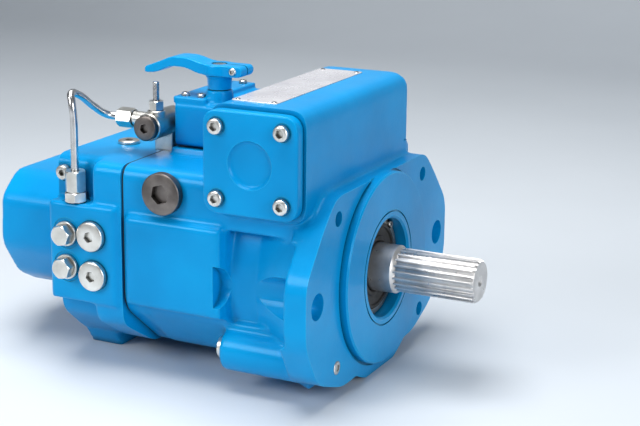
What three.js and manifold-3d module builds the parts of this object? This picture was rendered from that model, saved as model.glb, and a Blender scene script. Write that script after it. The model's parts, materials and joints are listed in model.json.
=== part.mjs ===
// Swashplate axial piston pump for a closed hydraulic circuit, with a transverse servo cylinder,
// a lever-operated displacement control, a pressure cut-off valve and a rear charge pump.
// Millimetres, +Z up, shaft along +X. The pump stands on its flange and on the foot of its port plate.
import * as THREE from 'three';
import { mergeVertices } from 'three/addons/utils/BufferGeometryUtils.js';
import Module from 'manifold-3d';

const wasm = await Module();
wasm.setup();

// ---- Driving dimensions. The pump frame has the shaft axis on X and the flange front face at X = 0.
const AXIS_HEIGHT = 84;          // shaft axis above the floor
const GAP = 0.3;                 // gap kept between touching pieces
const FLANGE = { half: 133, top: 75, thick: 24, ring: 88 };
const MOUNT_HOLE = { pitch: 228.6, r: 10.3, head: 17 };
const CORNER_HOLE = { y: 80, z: 58, r: 6 };
const PILOT = { r: 76.2, height: 6 };
const SPLINE = { teeth: 21, outer: 17.25, root: 15.4, from: 18, end: 82 };
const COLLAR_R = 19;
const SHAFT_R = 16;
const BODY_REAR = -172;
const SEAM = { gasket: 0.8 };
const PORT_FRONT = BODY_REAR - SEAM.gasket - 2 * GAP;
const PORT_REAR = -240;
const CHARGE_REAR = -305;
const COVER_REAR = -326;
const CAVITY_R = 64;
const LOWER_BOSS = { r: 17, rear: -86, y: -93, z: -52 };
const BULGE = { r: 112, offset: 15, from: -82, low: -30, high: 44 };
// Rotating group.
const TILT_X = -100;             // the swashplate tilts about a vertical line here, through the ball centres
const TILT = { radius: 60, clear: 0.4 };
const PISTONS = { count: 9, pitch: 42, r: 9.5, bore: 11.4, ball: 6.2, neck: 3.6, tail: 51 };
const SLIPPER = { pad: 13, neck: 10.4, face: 8, step: 4, socket: 6.8 };
const SWASH = { disc: 55.5, front: 8.3, thick: 12, hole: 24, rail: 48, railIn: 25 };
const BLOCK = { r: 58, front: -120, rear: -167 };
const VALVE_PLATE = { front: -167.3, rear: -171.7, r: 57 };
const BEARING = { front: [-34, -14], frontR: 36, rear: [-192, -177], rearR: 26 };
// Servo cylinder, along Y above the swashplate.
const SERVO = { x: -54, z: 100, bore: 28.6, piston: 28, near: -108, far: 70 };
const SERVO_BOX = { x0: -92, x1: -13, z0: 58, z1: 142 };
const SERVO_ARM = { pin: 6, slot: 6.5, low: 68, high: 78 };
const COVER = { half: 39, thick: 10, screw: 27, screwR: 6, dishR: 18, dishDepth: 3 };
// Displacement control.
const CONTROL = { x0: -160, x1: -100, y0: -50, y1: 34, z0: 90, z1: 130 };
const LEVER = { x: -126, y: -34, z: 148, thick: 8.5, reach: 63, crank: 8, split: 0.8 };
const SPOOL = { r: 7, z: 101, from: -150, to: -109.5, waist: [-144, -134] };
const INLET = { x: -284, r: 11, face: 94 };
// Charge pump, a gerotor set: the ring has one tooth more than the rotor and is off centre.
const GEROTOR = { lobes: 6, pitch: 22, tooth: 7, offset: 2.6, ring: 33, from: -262, to: -246 };

// Round pieces are faceted. FINENESS scales every piece's number of sides.
const FINENESS = 0.5;
const facets = (sides) => Math.max(8, 2 * Math.round((sides * FINENESS) / 2));

// ---- Solids
function solid(geometry) {
  geometry.deleteAttribute('normal');
  geometry.deleteAttribute('uv');
  const merged = mergeVertices(geometry, 1e-4);
  return new wasm.Manifold(new wasm.Mesh({
    numProp: 3,
    vertProperties: Float32Array.from(merged.attributes.position.array),
    triVerts: Uint32Array.from(merged.index.array),
  }));
}

function geometryOf(manifold) {
  const mesh = manifold.getMesh();
  const geometry = new THREE.BufferGeometry();
  geometry.setAttribute('position', new THREE.BufferAttribute(Float32Array.from(mesh.vertProperties), 3));
  geometry.setIndex(new THREE.BufferAttribute(Uint32Array.from(mesh.triVerts), 1));
  return geometry;
}

function box(x0, x1, y0, y1, z0, z1) {
  const geometry = new THREE.BoxGeometry(x1 - x0, y1 - y0, z1 - z0);
  geometry.translate((x0 + x1) / 2, (y0 + y1) / 2, (z0 + z1) / 2);
  return solid(geometry);
}

// A frustum along an axis, from a to b, with radius r0 at a and r1 at b, centred at (u, v) across it.
// For X the pair is (y, z), for Y it is (x, z) and for Z it is (x, y).
function rod(axis, r0, r1, a, b, u = 0, v = 0, sides = 32) {
  return placedCylinder(axis, r0, r1, a, b, u, v, facets(sides), 0);
}

function placedCylinder(axis, r0, r1, a, b, u, v, sides, turn) {
  const geometry = new THREE.CylinderGeometry(r1, r0, b - a, sides, 1, false, turn);
  if (axis === 'x') geometry.rotateZ(-Math.PI / 2);
  if (axis === 'z') geometry.rotateX(Math.PI / 2);
  const middle = (a + b) / 2;
  if (axis === 'x') geometry.translate(middle, u, v);
  if (axis === 'y') geometry.translate(u, middle, v);
  if (axis === 'z') geometry.translate(u, v, middle);
  return solid(geometry);
}

const tube = (axis, r, a, b, u, v, sides) => rod(axis, r, r, a, b, u, v, sides);

// A hexagonal prism, given across its flats.
function hex(axis, flats, a, b, u, v, turn = Math.PI / 6) {
  const r = flats / Math.sqrt(3);
  return placedCylinder(axis, r, r, a, b, u, v, 6, turn);
}

// A closed outline, with its corners rounded unless the radius is 0.
function roundedShape(points, radius) {
  if (radius === 0) return new THREE.Shape(points.map((point) => new THREE.Vector2(...point)));
  const shape = new THREE.Shape();
  const count = points.length;
  points.forEach((point, i) => {
    const corner = new THREE.Vector2(...point);
    const before = new THREE.Vector2(...points[(i + count - 1) % count]).sub(corner);
    const after = new THREE.Vector2(...points[(i + 1) % count]).sub(corner);
    const reach = Math.min(radius, before.length() / 2.1, after.length() / 2.1);
    const start = corner.clone().add(before.setLength(reach));
    const end = corner.clone().add(after.setLength(reach));
    if (i === 0) shape.moveTo(start.x, start.y);
    else shape.lineTo(start.x, start.y);
    shape.quadraticCurveTo(corner.x, corner.y, end.x, end.y);
  });
  shape.closePath();
  return shape;
}

// An outline in (y, z), extruded along X.
function prismX(points, x0, x1, radius = 6) {
  const geometry = new THREE.ExtrudeGeometry(roundedShape(points, radius), {
    depth: x1 - x0, bevelEnabled: false, curveSegments: 3,
  });
  const basis = new THREE.Matrix4().makeBasis(
    new THREE.Vector3(0, 1, 0), new THREE.Vector3(0, 0, 1), new THREE.Vector3(1, 0, 0));
  geometry.applyMatrix4(basis);
  geometry.translate(x0, 0, 0);
  return solid(geometry);
}

// An outline in (x, z), extruded along Y.
function prismY(points, y0, y1, radius = 6) {
  const geometry = new THREE.ExtrudeGeometry(roundedShape(points, radius), {
    depth: y1 - y0, bevelEnabled: false, curveSegments: 3,
  });
  geometry.rotateX(Math.PI / 2);
  geometry.translate(0, y1, 0);
  return solid(geometry);
}

// A solid of revolution about X from pairs (x, r).
function latheX(profile, sides = 40) {
  const points = profile.map(([x, r]) => new THREE.Vector2(r, x));
  const geometry = new THREE.LatheGeometry(points, facets(sides));
  geometry.rotateZ(-Math.PI / 2);
  return solid(geometry);
}

const union = (first, ...rest) => rest.reduce((sum, item) => sum.add(item), first);
const cut = (first, ...rest) => rest.reduce((sum, item) => sum.subtract(item), first);

// ---- Finishes
const paint = () => new THREE.MeshStandardMaterial({ color: 0x0a8fd6, roughness: 0.35, metalness: 0.1 });
const steel = () => new THREE.MeshStandardMaterial({ color: 0xc9ccd0, roughness: 0.3, metalness: 1 });
const zinc = () => new THREE.MeshStandardMaterial({ color: 0xd8d6cf, roughness: 0.35, metalness: 1 });
const black = () => new THREE.MeshStandardMaterial({ color: 0x4a4744, roughness: 0.5, metalness: 0.7 });
const bronze = () => new THREE.MeshStandardMaterial({ color: 0xb0813f, roughness: 0.4, metalness: 1 });
const iron = () => new THREE.MeshStandardMaterial({ color: 0x8b8f93, roughness: 0.5, metalness: 0.9 });
const rubber = () => new THREE.MeshStandardMaterial({ color: 0x1d1d1f, roughness: 0.8, metalness: 0 });
const paper = () => new THREE.MeshStandardMaterial({ color: 0x23282c, roughness: 0.9, metalness: 0 });

const pump = new THREE.Group();

function piece(name, shape, material, parent = pump) {
  const mesh = new THREE.Mesh(geometryOf(shape), material);
  mesh.name = name;
  parent.add(mesh);
  return mesh;
}

// ---- Housing
function flangePlate() {
  const { half, top, thick, ring } = FLANGE;
  const outline = [
    [84, top], [105, 55], [half, 24], [half, -22], [105, -57], [66, -73], [-70, -77], [-112, -62],
    [-half, -26], [-half, 20], [-104, 56], [-84, top],
  ];
  const plate = prismX(outline, -thick, 0, 9);
  const bulge = tube('x', ring, -thick, 0, 0, 0, 48)
    .intersect(box(-thick - 1, 1, -ring, ring, -AXIS_HEIGHT, top));
  return union(plate, bulge, tube('x', PILOT.r, -1, PILOT.height, 0, 0, 56));
}

function housingBody() {
  const main = prismX([
    [-104, 84], [-104, -26], [-62, -69], [-30, -77], [30, -77], [62, -69], [98, -26], [98, 84],
  ], -158, -20, 12);
  const rearCollar = prismX([
    [-104, 84], [-104, -30], [-50, -74], [50, -74], [98, -30], [98, 84],
  ], BODY_REAR, -157, 12);
  const panel = prismX([[-110, 44], [-110, -25], [-97, -28], [-97, 51]], -168, -84, 4);
  const lowerBoss = tube('x', LOWER_BOSS.r, LOWER_BOSS.rear, -20, LOWER_BOSS.y, LOWER_BOSS.z, 24);
  const controlPad = box(CONTROL.x0 - 1, CONTROL.x1 + 4, CONTROL.y0 - 3, CONTROL.y1 + 3, 70, CONTROL.z0);
  const rest = box(-40, -20, -26, 26, -AXIS_HEIGHT, -70);
  const side = cut(union(main, rearCollar), sideRelief());
  return union(side, neck(), panel, lowerBoss, controlPad, rest);
}

// The flare from the housing to its flange.
function neck() {
  return rod('x', 96, 116, -62, -20, 0, 0, 48).intersect(box(-63, -19, -140, 140, -78, FLANGE.top));
}

// What is cut from both sides behind the ears, down to a shallow bulge, so that the ear bolts can be reached.
function sideRelief() {
  const { r, offset, from, low, high } = BULGE;
  return union(...[-1, 1].map((side) => {
    const outer = side < 0 ? box(from, -19, -140, -70, low, high) : box(from, -19, 70, 140, low, high);
    return cut(outer, tube('x', r, from - 1, -18, -side * offset, 0, 64));
  }));
}

function servoBox() {
  const { x0, x1, z0, z1 } = SERVO_BOX;
  return prismY([[x0, z0], [x1, z0], [x1, z1], [x0, z1]], SERVO.near, SERVO.far, 12);
}

function mountHoles() {
  const { y, z, r } = CORNER_HOLE;
  const through = (radius, at, height) => tube('x', radius, -FLANGE.thick - 60, 1, at, height, 24);
  const ears = [-1, 1].map((side) => {
    const middle = side * MOUNT_HOLE.pitch / 2;
    const backFace = tube('x', MOUNT_HOLE.head, -90, -FLANGE.thick, middle, 0, 24);
    return through(MOUNT_HOLE.r, middle, 0).add(backFace);
  });
  const corners = [[-y, z], [y, z], [-y, -z], [y, -z]].map(([u, v]) => tube('x', r, -18, 1, u, v, 16));
  return union(...ears, ...corners);
}

function housing() {
  const shell = union(flangePlate(), housingBody(), servoBox());
  const cavity = tube('x', CAVITY_R, BODY_REAR - 1, TILT_X, 0, 0, 48);
  const cradle = tube('z', TILT.radius + TILT.clear, -57, 57, TILT_X, 0, 64);
  const bearingSeat = tube('x', BEARING.frontR + GAP, -44, -9, 0, 0, 40);
  const sealRecess = tube('x', 39.5, -9, PILOT.height + 1, 0, 0, 40);
  const servoBore = tube('y', SERVO.bore, SERVO.near - 1, SERVO.far + 1, SERVO.x, SERVO.z, 40);
  const armWindow = box(-91, SERVO.x + 12, -24, 24, 50, SERVO.z - 10);
  const plugSeat = tube('y', 13.4, -112, -60, -135, 67, 24);
  const farRelief = box(SERVO_BOX.x0 - 6, SERVO_BOX.x1 - 1, SERVO.far, 140, SERVO_BOX.z0 - 1, 90);
  const drain = tube('x', 6.5, LOWER_BOSS.rear - 1, -70, LOWER_BOSS.y, LOWER_BOSS.z, 16);
  return cut(shell, mountHoles(), cavity, cradle, bearingSeat, sealRecess, servoBore, armWindow, plugSeat,
    drain, farRelief, screwHoles(SERVO.near), screwHoles(SERVO.far));
}

// ---- Servo cylinder covers and their screws
const SCREW_CORNERS = [[-1, 1], [1, 1], [-1, -1], [1, -1]];

function screwHoles(middle) {
  return union(...SCREW_CORNERS.map(([u, v]) =>
    tube('y', 4.4, middle - 16, middle + 16, SERVO.x + u * COVER.screw, SERVO.z + v * COVER.screw, 12)));
}

function servoCover(y0, y1, outward) {
  const { half } = COVER;
  const plate = prismY([
    [SERVO.x - half, SERVO.z - half], [SERVO.x + half, SERVO.z - half],
    [SERVO.x + half, SERVO.z + half], [SERVO.x - half, SERVO.z + half],
  ], y0, y1, 10);
  const { dishR, dishDepth } = COVER;
  const dish = outward < 0 ? rod('y', dishR + 0.4, dishR - 2, y0 - 1, y0 + dishDepth, SERVO.x, SERVO.z, 40)
    : rod('y', dishR - 2, dishR + 0.4, y1 - dishDepth, y1 + 1, SERVO.x, SERVO.z, 40);
  return cut(plate, dish, screwHoles((y0 + y1) / 2));
}

function coverScrew(u, v) {
  const x = SERVO.x + u * COVER.screw;
  const z = SERVO.z + v * COVER.screw;
  const face = SERVO.near - GAP - COVER.thick;
  const head = rod('y', COVER.screwR - 0.6, COVER.screwR, face - GAP - 5, face - GAP, x, z, 20);
  const shank = tube('y', 4, face - GAP - 0.5, SERVO.near + 14, x, z, 12);
  const socket = hex('y', 6, face - GAP - 6, face - GAP - 2.4, x, z);
  return cut(head.add(shank), socket);
}

// ---- Port plate, gasket and its plugs
const SIDE_PLUGS = {
  hex_plug_upper: { x: -222, z: 25, kind: 'hex' },
  hex_plug_lower: { x: -222, z: -2, kind: 'hex' },
  socket_plug_upper: { x: -198, z: 26, kind: 'socket' },
  socket_plug_lower: { x: -197, z: -6, kind: 'socket' },
};
const PORT_SIDE = -110;          // near side face of the port plate
const LEDGE = 50;                // height of the ledge that the pressure fitting stands on
const FITTING = { x: -217, y: -103 };
const TEST_PORT = { x: -233.5, z: 70, face: -93 };
const WORK_PORT = { x: -206, z: 32, r: 12.7, bolt: [26.2 / 2, 52.4 / 2] };

function seamOutline(x0, x1) {
  return prismX([[-104, 84], [-104, -30], [-50, -74], [50, -74], [98, -30], [98, 84]], x0, x1, 12);
}

function gasket() {
  const x1 = BODY_REAR - GAP;
  const x0 = x1 - SEAM.gasket;
  return cut(seamOutline(x0, x1), tube('x', CAVITY_R, x0 - 1, x1 + 1, 0, 0, 48));
}

function portPlate() {
  const main = prismX([[-106, 84], [-106, -44], [-60, -72], [50, -72], [98, -30], [98, 84]],
    -200, PORT_FRONT, 10);
  const rear = prismX([[-93, 84], [-93, -44], [-60, -72], [50, -72], [98, -30], [98, 84]],
    PORT_REAR, -199, 10);
  const lower = box(PORT_REAR, -176, PORT_SIDE, -80, -30, LEDGE);
  const foot = prismX([[-88, -30], [-48, -AXIS_HEIGHT], [48, -AXIS_HEIGHT], [80, -30]], PORT_REAR, -210, 3);
  const pads = box(PORT_REAR + 6, PORT_FRONT - 2, 90, 108, -62, 62);
  const body = union(main, rear, lower, foot, pads);
  const cuts = [
    tube('x', BEARING.rearR + GAP, BEARING.rear[0] - 0.5, PORT_FRONT + 1, 0, 0, 40),
    tube('x', 14, PORT_REAR - 1, PORT_FRONT, 0, 0, 24),
    tube('z', 4.3, LEDGE - 14, LEDGE + 1, FITTING.x, FITTING.y, 16),
    tube('y', 5.4, -94, -78, TEST_PORT.x, TEST_PORT.z, 16),
  ];
  Object.values(SIDE_PLUGS).forEach(({ x, z, kind }) =>
    cuts.push(tube('y', kind === 'hex' ? 6.4 : 8.4, PORT_SIDE - 1, PORT_SIDE + 18, x, z, 16)));
  [-1, 1].forEach((side) => {
    const z = side * WORK_PORT.z;
    cuts.push(tube('y', WORK_PORT.r, 68, 110, WORK_PORT.x, z, 32));
    SCREW_CORNERS.forEach(([u, v]) => cuts.push(
      tube('y', 4.5, 92, 110, WORK_PORT.x + u * WORK_PORT.bolt[0], z + v * WORK_PORT.bolt[1], 10)));
  });
  return cut(body, ...cuts);
}

function hexPlug(x, z) {
  const face = PORT_SIDE - GAP;
  const washer = tube('y', 10, face - 2.5, face, x, z, 20);
  const head = hex('y', 15, face - 10, face - 2, x, z);
  return union(washer, head, tube('y', 6, face - 1, PORT_SIDE + 14, x, z, 16));
}

function socketPlug(x, z) {
  const face = PORT_SIDE - GAP;
  const head = rod('y', 11, 12, face - 5, face, x, z, 24);
  const shank = tube('y', 8, face - 1, PORT_SIDE + 14, x, z, 16);
  return cut(head.add(shank), hex('y', 8, face - 6, face + 2, x, z));
}

function sidePlug() {
  const head = rod('y', 15.5, 16.5, -111, -104 - GAP, -135, 67, 32);
  const shank = tube('y', 13, -105, -88, -135, 67, 24);
  return cut(head.add(shank), hex('y', 14, -112, -100, -135, 67));
}

function testPlug() {
  const { x, z, face } = TEST_PORT;
  const head = rod('y', 5.5, 6, face - GAP - 5, face - GAP, x, z, 20);
  const shank = tube('y', 5, face - 1, face + 11, x, z, 16);
  return cut(head.add(shank), hex('y', 5, face - 7, face - 3, x, z));
}

// ---- Charge pump
function chargeHousing() {
  const front = PORT_REAR - GAP;
  const outer = prismX([
    [-62, 58], [62, 58], [84, 40], [86, 0], [66, -30], [40, -44], [-40, -44], [-66, -30], [-86, 0], [-84, 40],
  ], CHARGE_REAR, front, 8);
  const inlet = rod('y', 19, 16, 40, INLET.face, INLET.x, 0, 28);
  const chamber = tube('x', GEROTOR.ring + GAP, GEROTOR.from - GAP, PORT_REAR + 1, GEROTOR.offset, 0, 40);
  const tail = tube('x', 9, -272, GEROTOR.from, 0, 0, 24);
  const mouth = tube('y', INLET.r, 60, INLET.face + 1, INLET.x, 0, 24);
  return cut(outer.add(inlet), chamber, tail, mouth);
}

function chargeCover() {
  const disc = rod('x', 42, 46, COVER_REAR + 3, CHARGE_REAR - GAP, 0, 0, 40);
  const hub = tube('x', 24, COVER_REAR, COVER_REAR + 4, 0, 0, 32);
  return disc.add(hub);
}

// The rotor's flank is the path of a ring tooth's centre, moved inwards by the tooth's radius.
function gerotorRotor() {
  const { lobes, pitch, tooth, offset, from, to } = GEROTOR;
  const steps = lobes * 12;
  const points = [];
  for (let i = 0; i < steps; i += 1) {
    const even = (2 * Math.PI * i) / steps;
    const t = even + (0.8 / lobes) * Math.sin(lobes * even);
    const x = pitch * Math.cos(t) + offset * Math.cos((lobes + 1) * t);
    const y = pitch * Math.sin(t) + offset * Math.sin((lobes + 1) * t);
    const dx = -pitch * Math.sin(t) - offset * (lobes + 1) * Math.sin((lobes + 1) * t);
    const dy = pitch * Math.cos(t) + offset * (lobes + 1) * Math.cos((lobes + 1) * t);
    const inward = (tooth + GAP) / Math.hypot(dx, dy);
    points.push([x - dy * inward, y + dx * inward]);
  }
  return cut(prismX(points, from + GAP, to - GAP, 0), tube('x', 8.4, from - 1, to + 1, 0, 0, 24));
}

function gerotorRing() {
  const { lobes, pitch, tooth, offset, ring, from, to } = GEROTOR;
  const inside = pitch + 2 * offset - tooth + 0.7;
  const blank = tube('x', ring - GAP, from + GAP, to - GAP, 0, 0, 40);
  const body = cut(blank, tube('x', inside, from, to, 0, 0, 40));
  const teeth = [];
  for (let i = 0; i <= lobes; i += 1) {
    const t = (2 * Math.PI * i) / (lobes + 1);
    teeth.push(tube('x', tooth, from + GAP, to - GAP, pitch * Math.cos(t), pitch * Math.sin(t), 20));
  }
  return union(body, ...teeth).intersect(tube('x', ring - GAP, from, to, 0, 0, 40));
}

// ---- Shaft and rotating group
function splineTeeth() {
  const { teeth, outer, root, from, end } = SPLINE;
  const points = [];
  for (let i = 0; i < teeth; i += 1) {
    [[-0.25, root], [-0.13, outer], [0.13, outer], [0.25, root]].forEach(([part, r]) => {
      const t = (2 * Math.PI * (i + part)) / teeth;
      points.push([r * Math.cos(t), r * Math.sin(t)]);
    });
  }
  const chamfer = latheX([[from - 2, 0], [from - 2, outer + 1], [end - 3, outer + 1], [end, root], [end, 0]]);
  return prismX(points, from - 1, end, 0).intersect(chamfer);
}

function driveShaft() {
  const body = latheX([
    [-266, 0], [-266, 8], [-200, 8], [-200, 12.2], [-176, 12.2], [-176, SHAFT_R], [-36, SHAFT_R],
    [-36, 17.2], [-12, 17.2], [-12, COLLAR_R], [SPLINE.from - 2, COLLAR_R], [SPLINE.from, SPLINE.root],
    [SPLINE.from, 0],
  ], 32);
  const centreDrill = rod('x', 1, 4, SPLINE.end - 8, SPLINE.end + 0.5, 0, 0, 16);
  return cut(body.add(splineTeeth()), centreDrill);
}

function bearing([x0, x1], bore, outer) {
  const disc = (r, from, to) => tube('x', r, from, to, 0, 0, 40);
  const ring = cut(disc(outer, x0, x1), disc(bore, x0 - 1, x1 + 1));
  const groove = (from, to) => cut(disc(outer - 5, from, to), disc(bore + 5, from - 1, to + 1));
  return cut(ring, groove(x0 - 0.5, x0 + 3), groove(x1 - 3, x1 + 0.5));
}

// Where an angle falls on the pistons' pitch circle, as (y, z).
const onPitchCircle = (t) => [PISTONS.pitch * Math.cos(t), PISTONS.pitch * Math.sin(t)];
const pistonAngle = (i) => (2 * Math.PI * i) / PISTONS.count;

function cylinderBlock() {
  const { r, front, rear } = BLOCK;
  const body = latheX([
    [rear, 0], [rear, r - 2], [rear + 2, r], [front - 3, r], [front, r - 3], [front, 0],
  ]);
  const bores = [];
  for (let i = 0; i < PISTONS.count; i += 1) {
    const [y, z] = onPitchCircle(pistonAngle(i));
    bores.push(tube('x', PISTONS.bore, rear + 3, front + 1, y, z, 24));
    bores.push(tube('x', 6, rear - 1, rear + 4, y, z, 12));
  }
  return cut(body, tube('x', SHAFT_R + GAP, rear - 1, front + 1, 0, 0, 32), ...bores);
}

function valvePlate() {
  const { front, rear, r } = VALVE_PLATE;
  const disc = cut(tube('x', r, rear, front, 0, 0, 48), tube('x', 22, rear - 1, front + 1, 0, 0, 32));
  const kidneys = [];
  for (let i = -2; i <= 2; i += 1) {
    [0, Math.PI].forEach((half) => {
      kidneys.push(tube('x', 5.5, rear - 1, front + 1, ...onPitchCircle(half + i * 0.48), 12));
    });
  }
  return cut(disc, ...kidneys);
}

// The swashplate runs the slippers on its rear face and rocks on two curved rails. Its arm reaches the servo.
function swashplate() {
  const { disc, front, thick, hole, rail, railIn } = SWASH;
  const { radius } = TILT;
  const faceX = TILT_X + front;
  const plate = tube('x', disc, faceX, faceX + thick, 0, 0, 48);
  const segment = tube('z', radius, -rail, rail, TILT_X, 0, 56)
    .intersect(box(faceX + thick - 0.5, -30, -46, 46, -rail - 1, rail + 1));
  const between = box(faceX + thick, -30, -60, 60, -railIn, railIn);
  const { low, high } = SERVO_ARM;
  const arm = box(-86, -72, -9, 9, rail - 6, high);
  const reach = box(-86, SERVO.x + 4, -5, 5, low, high);
  const pin = tube('z', SERVO_ARM.pin, low, SERVO.z + 6, SERVO.x, 0, 24);
  return cut(union(plate, cut(segment, between), arm, reach, pin),
    tube('x', hole, faceX - 1, faceX + thick + 1, 0, 0, 40));
}

function retainingPlate() {
  const plate = tube('x', 54.5, 0.6, 3.6, 0, 0, 48);
  const holes = [tube('x', 26, 0, 5, 0, 0, 36)];
  for (let i = 0; i < PISTONS.count; i += 1) {
    holes.push(tube('x', SLIPPER.neck + 0.5, 0, 5, ...onPitchCircle(pistonAngle(i)), 24));
  }
  return cut(plate, ...holes);
}

// A piston in its own frame: the ball centre is the origin and the bore runs towards -X.
function piston() {
  const { ball, neck, r, tail } = PISTONS;
  const profile = [[-tail, 0], [-tail, r - 1.5], [-tail + 1.5, r], [-14, r], [-12, r - 1], [-9.5, neck]];
  const neckAngle = Math.PI - Math.asin(neck / ball);
  for (let i = 0; i <= 6; i += 1) {
    const t = neckAngle * (1 - i / 6);
    profile.push([ball * Math.cos(t), Math.max(0, ball * Math.sin(t))]);
  }
  return latheX(profile, 24);
}

// A slipper in its own frame: the ball centre is the origin and its running face looks along +X.
function slipper() {
  const { pad, neck, face, step, socket } = SLIPPER;
  const mouth = Math.PI - Math.acos(4 / socket);
  const profile = [[face, 0], [face, pad], [step, pad], [step, neck], [-4, neck]];
  for (let i = 0; i <= 5; i += 1) {
    const t = mouth * (1 - i / 5);
    profile.push([socket * Math.cos(t), Math.max(0, socket * Math.sin(t))]);
  }
  return latheX(profile.reverse(), 24);
}

// ---- Seal at the front of the shaft
function shaftSeal() {
  const ring = cut(tube('x', 34, -8.7, -3.5, 0, 0, 40), tube('x', COLLAR_R + 0.5, -9, -3, 0, 0, 36));
  return cut(ring, cut(tube('x', 31, -5, -3, 0, 0, 36), tube('x', 24, -6, -2, 0, 0, 36)));
}

function retainingRing() {
  const ring = cut(tube('x', 39.1, -8.7, -4.5, 0, 0, 40), tube('x', 34.4, -9, -4, 0, 0, 40));
  const lugs = [0.9, 2.24].map((t) =>
    tube('x', 3.4, -6.5, -2, -36.5 * Math.cos(t), 36.5 * Math.sin(t), 14)
      .intersect(tube('x', 39.1, -9, 0, 0, 0, 40)));
  return cut(union(ring, ...lugs), tube('x', 34.4, -9, 0, 0, 0, 40));
}

// ---- Servo piston, driven by the swashplate's pin in its cross slot
function servoPiston() {
  const { x, z, piston: r } = SERVO;
  const land = (y0, y1) => tube('y', r, y0, y1, x, z, 36);
  const middle = tube('y', 20, -30, 30, x, z, 28);
  const slot = box(x - 30, x + 30, -SERVO_ARM.slot, SERVO_ARM.slot, z - 30, z + 8);
  const lighten = (y0, y1) => tube('y', 14, y0, y1, x, z, 24);
  return cut(union(land(-62, -30), middle, land(30, 50)), slot, lighten(-63, -44), lighten(44, 51));
}

// ---- Displacement control
function controlHousing() {
  const { x0, x1, y0, y1, z0, z1 } = CONTROL;
  const block = prismX([[y0, z0 + GAP], [y1, z0 + GAP], [y1, z1 - 4], [y0, z1 - 4]], x0 + 2, x1, 5);
  const lid = box(x0, x1 - 30, y0 + 1, y1, z1 - 5, z1);
  const post = rod('z', 12, 10, z1 - 6, z1 + 6, LEVER.x, LEVER.y, 28);
  const well = tube('z', 12.5, z0 - 1, 122, LEVER.x, LEVER.y, 28);
  const shaftHole = tube('z', 6.5, 120, z1 + 7, LEVER.x, LEVER.y, 24);
  const spoolBore = tube('x', SPOOL.r + GAP, x0 - 1, x1 - 4, LEVER.y + LEVER.crank, SPOOL.z, 24);
  return cut(union(block, lid, post), well, shaftHole, spoolBore);
}

function leverShaft() {
  const { x, y, z, thick, crank } = LEVER;
  const stem = tube('z', 6, 108, z + thick - 0.5, x, y, 24);
  const plate = tube('z', 11.5, 110, 115, x, y, 24);
  const pin = tube('z', 2.5, SPOOL.z - 2, 111, x, y + crank, 14);
  const web = box(x - 3, x + 3, y, y + crank + 2, 109, 112);
  return union(stem, plate, pin, web);
}

// The lever's end is split, and is pinched onto its shaft.
function controlLever() {
  const { x, y, z, thick, reach, split } = LEVER;
  const side = [[x + 25, z], [x + 25, z + thick], [x - 9, z + thick], [x - 24, z + 12.5], [x - 38, z + 12.5],
    [x - 52, z + 6.5], [x - reach, z + 2.5], [x - reach, z - 2.5], [x - 52, z - 1.5], [x - 40, z + 4.5],
    [x - 26, z + 4.5], [x - 12, z]];
  const bar = prismY(side, y - 10, y + 10, 2);
  const hub = rod('z', 13, 12, z, z + thick, x, y, 28);
  const linkHole = tube('z', 3.5, z - 20, z + 20, x - reach + 8, y, 16);
  const slit = box(x, x + 30, y - split, y + split, z - 1, z + thick + 1);
  return cut(bar.add(hub), linkHole, slit, tube('z', 6.3, z - 1, z + thick + 1, x, y, 24));
}

function controlSpool() {
  const { r, z, from, to, waist } = SPOOL;
  const y = LEVER.y + LEVER.crank;
  const body = tube('x', r, from, to, y, z, 24);
  const slot = box(LEVER.x - 2.9, LEVER.x + 2.9, y - 10, y + 10, z - 2.6, z + 10);
  const core = tube('x', r - 2, waist[0] - 1, waist[1] + 1, y, z, 24);
  const groove = cut(tube('x', r + 1, ...waist, y, z, 24), core);
  return cut(body, slot, groove);
}

// ---- Pressure cut-off valve and its pipe
const VALVE = { x: -171.5, y: -58, z: 107 };

function valveBody() {
  const { x, y, z } = VALVE;
  const barrel = tube('y', 11, -68, -28, x, z, 28);
  const base = box(x - 9, x + 8, -44, -30, 84 + GAP, z);
  const neck = tube('z', 7, z, z + 12.5, x + 2, y, 20);
  const outlet = tube('x', 6, x - 18, x, y, z + 4, 18);
  const cuts = [
    tube('y', 7.4, -69, -61, x, z, 20), tube('z', 3, z + 4, z + 13, x + 2, y, 14),
    tube('x', 3.4, x - 19, x - 10, y, z + 4, 14),
  ];
  return cut(union(barrel, base, neck, outlet), ...cuts);
}

function valvePlug() {
  const { x, z } = VALVE;
  const head = rod('y', 9, 10, -73.5, -68 - GAP, x, z, 24);
  const shank = tube('y', 7, -69, -61.5, x, z, 20);
  return cut(head.add(shank), hex('y', 7, -74, -69, x, z));
}

function settingScrew() {
  const { x, y, z } = VALVE;
  return tube('z', 2.6, z + 5, z + 35, x + 2, y, 14);
}

function settingLocknut() {
  const { x, y, z } = VALVE;
  return cut(hex('z', 11, z + 12.5 + GAP, z + 20, x + 2, y), tube('z', 3, z, z + 30, x + 2, y, 14));
}

const PIPE_R = 3;
const PIPE_ROUTE = [
  [VALVE.x - 18.5, VALVE.y, VALVE.z + 4], [VALVE.x - 27, VALVE.y, VALVE.z + 4],
  [VALVE.x - 35, VALVE.y, VALVE.z + 4], [-213, -62, 112.5], [-218, -74, 121], [-222, -88, 132],
  [-222, -98, 134.5], [-218.5, -102.5, 128], [FITTING.x, FITTING.y, 116], [FITTING.x, FITTING.y, 90],
  [FITTING.x, FITTING.y, 58],
];

function pressurePipe() {
  const points = PIPE_ROUTE.map((p) => new THREE.Vector3(...p));
  const route = new THREE.CatmullRomCurve3(points, false, 'centripetal');
  const section = new THREE.Shape();
  section.absarc(0, 0, PIPE_R, 0, 2 * Math.PI);
  return solid(new THREE.ExtrudeGeometry(section, { steps: 40, curveSegments: 5, extrudePath: route }));
}

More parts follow.
